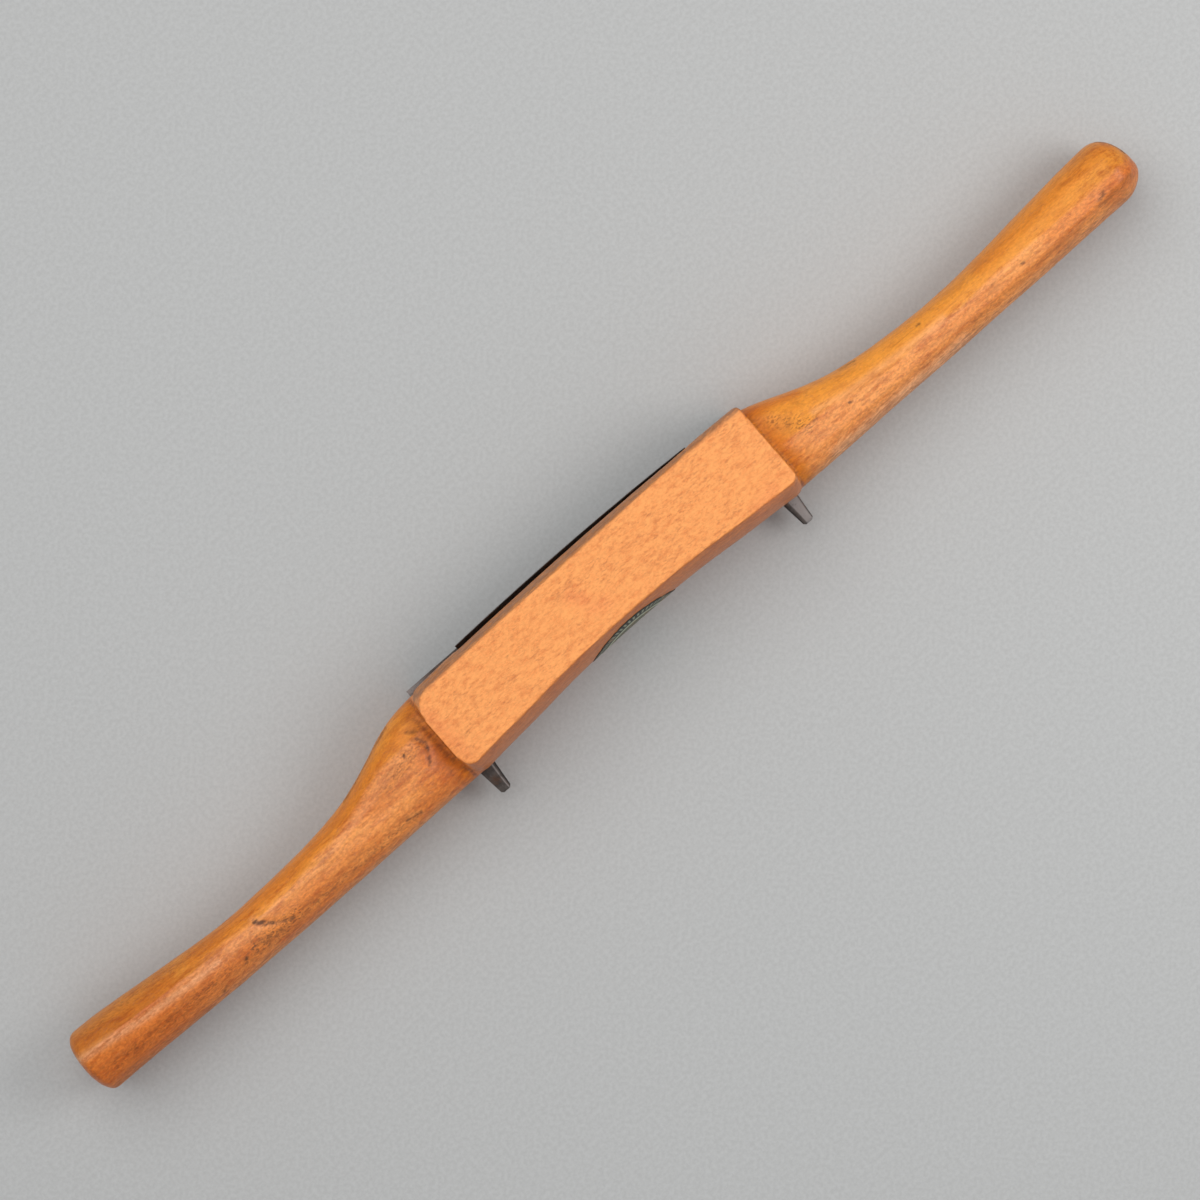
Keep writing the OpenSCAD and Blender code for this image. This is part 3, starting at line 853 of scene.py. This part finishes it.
WORN_ARRISES_AND_HIGHLIGHTS = [
    # half width, strength and line of the places where the varnish is rubbed pale, with a painted highlight
    # along them
    (0.9, 0.80, [(-146, -1.5), (-140, -2.3), (-131.6, -3.5), (-123.3, -4.4), (-111, -5.2)]),
    (0.8, 0.25, [(-111, -5.2), (-100, -5.4)]),
    (0.8, 0.45, [(57.8, -0.8), (66.1, -2.5), (78.5, -3.5), (91, -4.0)]),
    (1.3, 0.80, [(56, -10.0), (92, -10.3)]),
]
# how far from the block its golden corners, its dirt with painted shade, and its painted shade reach
GOLDEN_REACH, DIRT_AND_SHADE_REACH, SHADE_REACH = 3.2, 1.3, 4.2


def paint_wood(piece):
    points, facing = points_of(piece), normals_of(piece)
    x, y, z = points.T
    to_front = ease(facing[:, 2], -0.2, 0.4)
    to_sole = ease(facing[:, 1], 0.3, 0.7)
    past_block = np.maximum(x - BLOCK_RIGHT, -x - BLOCK_LEFT)
    beyond = np.clip(past_block, 0, None)
    on_block = past_block < 0.3
    front = ease(z, BLOCK_DEPTH - 5, BLOCK_DEPTH - 3) * on_block * ease(facing[:, 2], 0.35, 0.75)
    paint(piece, "bare", front)
    light = 0.88 * ease(x, -136, -92) + 0.12 * ease(x, 0, 40)
    paint(piece, "light", light * (1 - 0.55 * ease(x, 122, 142)))
    left_arris = -1.7 + 4.7 * ease(-x, 88, 60)
    right_arris = -2.0 - 2.4 * ease(x, 55, 76)
    arris = np.where(x < 0, left_arris, right_arris)
    golden = np.maximum(to_sole, ease(y - arris, -1.0, 1.2))
    golden = np.maximum(golden, np.exp(-(beyond / GOLDEN_REACH) ** 2))
    golden = np.where(on_block, to_sole * 0.35, golden)
    paint(piece, "golden", golden * (1 - front))
    paint(piece, "wall", ease(-facing[:, 1], 0.45, 0.85) * on_block)
    # painted shade and dirt in the corners of the shoulders
    shoulder_dirt_and_shade = np.exp(-beyond / DIRT_AND_SHADE_REACH) * (past_block > -0.4) * ease(z, 10, 20)
    shoulder_dirt_and_shade *= (1 - front) * (1 - 0.65 * ease(np.abs(facing[:, 0]), 0.5, 0.9))
    # dirt and painted shade along the sides of the handles, most on the side away from the sole
    edge_dirt_and_shade = ease(facing[:, 1], 0.80, 1.0) * 0.10 + ease(-facing[:, 1], 0.62, 1.0) * 0.40
    edge_dirt_and_shade *= 1 - on_block
    # dirt and painted shade on the sole beside the left ear
    seat_dirt_and_shade = (1 - ease(sole_at(x) - y, 0.1, 0.9)) * ease(-x, 26, 40) * on_block * (y > 5)
    seat_dirt_and_shade *= ease(z, 12, 16) * (1 - ease(z, 20, 24))
    paint(piece, "dirt_and_shade", np.maximum.reduce([shoulder_dirt_and_shade * 0.6, edge_dirt_and_shade, seat_dirt_and_shade * 0.55]))
    shade = np.exp(-(beyond / SHADE_REACH) ** 2)
    paint(piece, "shade", shade * (1 - front) * (past_block > -0.4))
    below_sole = np.abs(sole_at(x) - y)
    toe_reach = 2.3 - 0.45 * ease(x, 10, 28)
    toe = (1 - ease(below_sole, toe_reach - 1.1, toe_reach)) * (0.80 + 0.2 * ease(below_sole, 0.3, 1.3))
    paint(piece, "toe", toe * ease(z, 18.5, 21) * on_block * (y > 5))
    for name, marks in (
        ("stain_and_shade", STAINS_AND_SHOULDER_SHADE), ("blush", BLUSHES), ("deep_and_shade", DEEPS_AND_SHOULDER_SHADE), ("speckle", SPECKLES),
        ("worn", WORN_ARRISES_AND_HIGHLIGHTS),
    ):
        paint(piece, name, near_marks(points, marks) * to_front)


paint_wood(stock)
print("painted:", [a.name for a in stock.data.attributes if a.data_type == "FLOAT"])

# %% [markdown]
# ## Beech
#
# Beech is plain and fine, with short dark flecks along the grain. The colour is built in layers:
# pale wood or drifting varnish first, then the painted tints, with painted shade at the left
# shoulder and a painted highlight on the arrises, the pores, a mottle, fine lines along the grain,
# flecks and brown streaks, and last the worn toe and the dirt with its painted shade, whose edges
# are broken up by noise. The grain runs a little off the tool's length, as it does in the
# photograph, and the pattern is rolled about that length, so that no flat face of the wood cuts it
# squarely.

# %% Beech finish
PALE_BEECH = (0.905, 0.340, 0.089)
LIGHT_VARNISH = (0.95, 0.370, 0.090)
DARK_VARNISH = (0.68, 0.190, 0.026)
RED_VARNISH = (0.70, 0.195, 0.036)
LIGHT_GOLD = (0.83, 0.300, 0.034)
DARK_GOLD = (0.64, 0.228, 0.029)
WALL_BROWN = (0.55, 0.162, 0.032)
GRAIN_BROWN = (0.41, 0.108, 0.020)
FLECK = (0.38, 0.115, 0.040)
DIRT_AND_SHADE_BROWN = (0.085, 0.030, 0.009)
BLUSH = (0.80, 0.225, 0.065)
SHADE = (0.80, 0.66, 0.40)
DEEP_AND_SHADE_TINT = (0.84, 0.62, 0.32)
WORN_AND_HIGHLIGHT_PALE = (0.98, 0.52, 0.28)
TOE_BROWN = (0.35, 0.130, 0.042)
GRAIN_ROLL, GRAIN_SLANT = 37.0, 1.5
MOTTLE_DARK, MOTTLE_PALE, MOTTLE_LIGHT = (0.68, 0.48, 0.30), (0.80, 0.63, 0.52), (1.05, 1.05, 1.05)


def beech_finish():
    beech = Recipe("old varnished beech")
    turn = beech.add("ShaderNodeMapping")
    turn.inputs["Rotation"].default_value = (math.radians(GRAIN_ROLL), 0, math.radians(GRAIN_SLANT))
    beech.put(turn.inputs["Vector"], beech.place)
    beech.place = turn.outputs[0]
    bare, light, golden = (beech.painted(name) for name in ("bare", "light", "golden"))

    drift = beech.noise((26, 5, 5), detail=4)
    varnish = beech.mix(light, DARK_VARNISH, LIGHT_VARNISH)
    red_share = beech.between(drift, 0.42, 0.66, 0.0, 0.45)
    varnish = beech.mix(red_share, varnish, RED_VARNISH)
    gold = beech.mix(light, DARK_GOLD, LIGHT_GOLD)
    gold_edge = beech.noise((9, 2, 2), detail=3, shift=5)
    gold_share = beech.math("ADD", golden, beech.between(gold_edge, 0.3, 0.7, -0.25, 0.25))
    varnish = beech.mix(beech.between(gold_share, 0.1, 0.9), varnish, gold)
    colour = beech.mix(bare, varnish, PALE_BEECH)
    colour = beech.mix(beech.painted("wall"), colour, WALL_BROWN)
    colour = beech.mix(beech.math("MULTIPLY", beech.painted("blush"), 0.42), colour, BLUSH)
    # painted shade beside the block, then the deeper varnish, which holds more painted shade at the left
    # shoulder
    for mask, tint in (("shade", SHADE), ("deep_and_shade", DEEP_AND_SHADE_TINT)):
        tinted = beech.mix(1.0, colour, tint, "MULTIPLY")
        colour = beech.mix(beech.painted(mask), colour, tinted)
    # the rubbed pale arrises, which also carry a painted highlight
    colour = beech.mix(beech.math("MULTIPLY", beech.painted("worn"), 0.6), colour, WORN_AND_HIGHLIGHT_PALE)

    pores = beech.noise((0.75, 0.5, 0.5), detail=2, roughness=0.6, shift=3)
    low = beech.between(beech.math("MAXIMUM", bare, golden), 0, 1, 0.80, 0.94)
    colour = beech.mix(1.0, colour, beech.between(pores, 0.3, 0.7, low, 1.10), "MULTIPLY")
    mottle = beech.noise((2.5, 1.2, 1.2), detail=7, roughness=0.80, shift=7)
    streaks = beech.noise((4.2, 1.1, 1.1), detail=7, roughness=0.78, shift=61)
    only_bare = beech.math("MULTIPLY", bare, beech.math("SUBTRACT", mottle, streaks))
    pattern = beech.math("ADD", streaks, only_bare)
    tint = beech.mix(bare, MOTTLE_DARK, MOTTLE_PALE)
    tint = beech.mix(beech.between(pattern, 0.30, 0.58), tint, MOTTLE_LIGHT)
    mottled = beech.mix(1.0, colour, tint, "MULTIPLY")
    smooth = beech.between(beech.math("MULTIPLY", golden, light), 0.75, 1.0, 1.0, 0.45)
    colour = beech.mix(smooth, colour, mottled)
    lines = beech.noise((11, 0.6, 0.6), detail=6, roughness=0.65, shift=11)
    line_share = beech.between(bare, 0, 1, 0.38, 0.12)
    dark_lines = beech.math("MULTIPLY", beech.between(lines, 0.50, 0.72), line_share)
    colour = beech.mix(dark_lines, colour, GRAIN_BROWN)
    fleck_shape = beech.noise((1.2, 0.40, 0.40), detail=3, roughness=0.6, shift=23)
    fleck_crowd = beech.noise((7, 4, 4), detail=4, shift=37)
    start = beech.between(fleck_crowd, 0.36, 0.64, 0.62, 0.50)
    flecks = beech.between(beech.math("SUBTRACT", fleck_shape, start), 0.0, 0.16)
    colour = beech.mix(beech.math("MULTIPLY", flecks, 0.30), colour, FLECK)
    browning = beech.noise((9, 2.2, 2.2), detail=6, roughness=0.65, shift=43)
    browning = beech.between(browning, 0.50, 0.68, 0.0, beech.between(bare, 0, 1, 0.34, 0.0))
    colour = beech.mix(browning, colour, GRAIN_BROWN)

    breakup = beech.noise((1.6, 0.7, 0.7), detail=6, roughness=0.7, shift=51)
    speck_shape = beech.noise((0.8, 0.35, 0.35), detail=3, roughness=0.6, shift=67)

    def broken(mask, pattern, *limits):
        """A painted mask, broken up by a noise pattern."""
        return beech.math("MULTIPLY", beech.painted(mask), beech.between(pattern, *limits))

    colour = beech.mix(broken("toe", breakup, 0.32, 0.64, 0.55, 1.20), colour, TOE_BROWN)
    # the dirt mask also holds painted shade at the shoulders, the handles' sides and the sole by the left
    # ear
    dirt_and_shade = broken("dirt_and_shade", breakup, 0.32, 0.64, 0.20, 1.40)
    stain_and_shade = broken("stain_and_shade", breakup, 0.36, 0.60, 0.55, 1.45)
    specks = broken("speckle", speck_shape, 0.48, 0.60)
    dirt_and_shade = beech.math("MAXIMUM", beech.math("MAXIMUM", dirt_and_shade, stain_and_shade), specks)
    # dirt, stains, specks and painted shade darken the colour
    colour = beech.mix(beech.between(dirt_and_shade, 0.05, 1.0, 0.0, 0.88), colour, DIRT_AND_SHADE_BROWN)
    gloss = beech.math("ADD", beech.between(bare, 0, 1, 0.38, 0.60), beech.between(dirt_and_shade, 0, 1, 0.0, 0.2))
    dull = beech.between(beech.math("MAXIMUM", light, bare), 0, 0.9, 0.28, 0.5)
    shine = beech.between(golden, 0, 1, dull, 0.24)
    height = beech.math("SUBTRACT", beech.math("MULTIPLY", lines, 0.7), beech.math("MULTIPLY", flecks, 0.5))
    beech.relief(height, 0.07)
    return beech.finish(base_color=colour, roughness=gloss, specular_ior_level=shine)


beech = beech_finish()
stock.data.materials.clear()
stock.data.materials.append(beech)
print("beech has", len(beech.node_tree.nodes), "nodes")

# %% [markdown]
# ## Old steel
#
# The iron is dark from age, brown where rust has started, and brighter only where it was rubbed:
# on the front of the right tang, the inner arris of the left one and the corner of the left ear.
# The inner sides of the tangs are painted black, for old rust and for the shade that lies on them.
# Scattered pits roughen it all.

# %% Steel finish
DARK_STEEL = (0.050, 0.040, 0.035)
OLD_STEEL = (0.105, 0.086, 0.076)
WORN_STEEL = (0.30, 0.265, 0.25)
RUST = (0.10, 0.045, 0.022)
RUST_BLACK_AND_SHADE = (0.014, 0.011, 0.010)
TANG_SHOWS_FROM, TANG_SHOWS_TO = -17.5, -9.6


def steel_finish():
    steel = Recipe("old dark steel")
    scale = steel.noise((2.2, 2.2, 2.2), detail=6, roughness=0.7)
    colour = steel.mix(steel.between(scale, 0.38, 0.66), DARK_STEEL, OLD_STEEL)
    rust = steel.noise((5.0, 5.0, 5.0), detail=5, roughness=0.7, shift=19)
    colour = steel.mix(steel.between(rust, 0.52, 0.68, 0.0, 0.7), colour, RUST)

    split = steel.add("ShaderNodeSeparateXYZ")
    steel.put(split.inputs[0], steel.place)
    x, y, z = split.outputs
    outside = steel.between(y, -11, -9, 1.0, 0.0)
    half = steel.between(y, TANG_SHOWS_FROM, TANG_SHOWS_TO, TANG_TIP / 2, TANG_NECK / 2)
    inward = steel.math("DIVIDE", steel.math("SUBTRACT", TANG_X, steel.math("ABSOLUTE", x)), half)
    face = steel.math("MULTIPLY", steel.between(inward, 0.30, 0.55, 1.0, 0.0),
                      steel.between(inward, -0.95, -0.70))
    arris = steel.math("MULTIPLY", steel.between(inward, 0.45, 0.60),
                       steel.between(inward, 0.66, 0.80, 1.0, 0.0))
    right = steel.math("MULTIPLY", face, 0.85)
    left = steel.math("MULTIPLY", arris, 0.70)
    rubbed = steel.math("ADD", steel.math("MULTIPLY", right, steel.between(x, -1, 1)),
                        steel.math("MULTIPLY", left, steel.between(x, -1, 1, 1.0, 0.0)))
    on_tang = steel.math("MULTIPLY", outside, steel.between(z, TANG_Z + 0.6, TANG_Z + 1.0))
    rubbed = steel.math("MULTIPLY", rubbed, on_tang)
    ear_corner = steel.math("MULTIPLY", steel.between(x, -45, -37, 0.75, 0.0), steel.between(y, 9, 10))
    rubbed = steel.math("MAXIMUM", rubbed, ear_corner)
    rubbed = steel.math("MULTIPLY", rubbed, steel.between(scale, 0.38, 0.5, 0.5, 1.0))
    colour = steel.mix(rubbed, colour, WORN_STEEL)
    # painted shade and rust: the inner sides of the tangs go nearly black
    inner_side_rust_and_shade = steel.math("MULTIPLY", steel.between(inward, 0.90, 0.98, 0.0, 0.9), outside)
    colour = steel.mix(inner_side_rust_and_shade, colour, RUST_BLACK_AND_SHADE)
    pits = steel.noise((0.45, 0.45, 0.45), detail=2, shift=31)
    gloss = steel.between(scale, 0.3, 0.7, 0.34, 0.6)
    steel.relief(steel.math("ADD", steel.math("MULTIPLY", scale, 1.5), pits), 0.08)
    return steel.finish(base_color=colour, roughness=gloss, metallic=0.15, specular_ior_level=0.3)


iron.data.materials.clear()
iron.data.materials.append(steel_finish())
print("iron painted")

# %% [markdown]
# ## Printed paper
#
# The printing is left off. What stays is the look of the paper: a green ground, a thin dark line,
# one pale ring, a dark border with a chain of beads in it, and the brown of age.

# %% Paper finish
LABEL_GREEN = (0.090, 0.115, 0.075)
LABEL_DARK = (0.022, 0.022, 0.016)
LABEL_PALE = (0.40, 0.43, 0.31)
LABEL_BROWN = (0.24, 0.14, 0.075)
RINGS = [
    # inner edge, outer edge and colour of each printed oval ring
    (0.52, 0.56, LABEL_DARK), (0.60, 0.69, LABEL_PALE), (0.72, 1.10, LABEL_DARK),
]
CHAIN = (0.78, 0.92)
BEADS = 52


def paper_finish():
    paper = Recipe("old green paper")
    centred = paper.vector("SUBTRACT", paper.place, (LABEL_AT, 0, CROWN_Z))
    flat = paper.vector("MULTIPLY", centred, (2 / LABEL_LENGTH, 0, 2 / LABEL_WIDTH))
    length = paper.add("ShaderNodeVectorMath", operation="LENGTH")
    paper.put(length.inputs[0], flat)
    out = length.outputs["Value"]
    split = paper.add("ShaderNodeSeparateXYZ")
    paper.put(split.inputs[0], flat)
    turn = paper.math("ARCTAN2", split.outputs["Z"], split.outputs["X"])

    worn = paper.noise((1.3, 1.3, 1.3), detail=5, roughness=0.65)
    colour = paper.mix(paper.between(worn, 0.35, 0.7, 0.0, 0.5), LABEL_GREEN, LABEL_BROWN)
    for start, end, tint in RINGS:
        ring = paper.math("MULTIPLY", paper.between(out, start, start + 0.02),
                          paper.between(out, end, end + 0.02, 1.0, 0.0))
        colour = paper.mix(ring, colour, tint)
    beads = paper.between(paper.math("SINE", paper.math("MULTIPLY", turn, BEADS)), -0.1, 0.4, 0.0, 0.6)
    chain = paper.math("MULTIPLY", paper.between(out, CHAIN[0], CHAIN[0] + 0.03),
                       paper.between(out, CHAIN[1], CHAIN[1] + 0.03, 1.0, 0.0))
    colour = paper.mix(paper.math("MULTIPLY", chain, beads), colour, LABEL_PALE)
    rub = paper.noise((2.2, 2.2, 2.2), detail=5, roughness=0.65, shift=17)
    colour = paper.mix(paper.between(rub, 0.52, 0.66, 0.0, 0.85), colour, LABEL_BROWN)
    paper.relief(worn, 0.04)
    return paper.finish(base_color=colour, roughness=0.55, specular_ior_level=0.4)


label.data.materials.clear()
label.data.materials.append(paper_finish())
print("label painted")

# %% [markdown]
# ## Hang the pieces on the frame
#
# Each fine mesh takes the place of its CAD node and rides on that node's body, so the iron slides
# out of the stock when the joint moves, and the label stays with the wood.

# %% Replace the CAD nodes
for piece, node, body in ((stock, "stock", "stock"), (iron, "iron", "iron"), (label, "label", "stock")):
    for polygon in piece.data.polygons:
        polygon.use_smooth = True
    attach(piece, body)
    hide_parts(node)
    print(piece.name, "stands for", node, "and rides on", body)

# %% [markdown]
# ## Floor and light
#
# The tool lies on a plain pale grey surface. One large soft lamp hangs above it, a little to the
# side of the sole, which puts the deeper shadow on the side of the tangs. A small lamp near the
# right handle thins the shadow there, and a sky that is a touch cool fills the rest evenly.

# %% Floor
FLOOR_REACH = 3
TABLE_DARK = (0.457, 0.454, 0.443)
TABLE_PALE = (0.509, 0.507, 0.496)


def grey_floor():
    ground = Recipe("plain grey table")
    mottle = ground.noise((0.9, 0.9, 0.9), detail=4, roughness=0.65)
    colour = ground.mix(ground.between(mottle, 0.3, 0.7), TABLE_DARK, TABLE_PALE)
    return ground.finish(base_color=colour, roughness=0.75, specular_ior_level=0.25)


floor_mesh = bpy.data.meshes.new("floor")
corners = [(FLOOR_REACH * x, FLOOR_REACH * y, 0) for x, y in ((-1, -1), (1, -1), (1, 1), (-1, 1))]
floor_mesh.from_pydata(corners, [], [(0, 1, 2, 3)])
floor = bpy.data.objects.new("floor", floor_mesh)
bpy.context.scene.collection.objects.link(floor)
floor.data.materials.append(grey_floor())
print("floor laid")

# %% Lights
SKY_COLOUR, SKY_STRENGTH = (0.97, 1.0, 1.035, 1.0), 0.51


def soft_lamp(name, place, size, power):
    lamp = bpy.data.objects.new(name, bpy.data.lights.new(name, "AREA"))
    bpy.context.scene.collection.objects.link(lamp)
    lamp.location = place
    lamp.rotation_euler = (-Vector(place)).to_track_quat("-Z", "Y").to_euler()
    lamp.data.shape = "DISK"
    lamp.data.size = size
    lamp.data.energy = power
    lamp.visible_camera = False
    return lamp


soft_lamp("window", place=(-0.05, 0.40, 0.80), size=0.9, power=3.6)
soft_lamp("fill", place=(0.34, -0.18, 0.42), size=0.3, power=0.95)
world = bpy.data.worlds.new("world")
world.use_nodes = True
sky = world.node_tree.nodes["Background"]
sky.inputs["Color"].default_value = SKY_COLOUR
sky.inputs["Strength"].default_value = SKY_STRENGTH
bpy.context.scene.world = world
bpy.context.scene.view_settings.view_transform = "Standard"
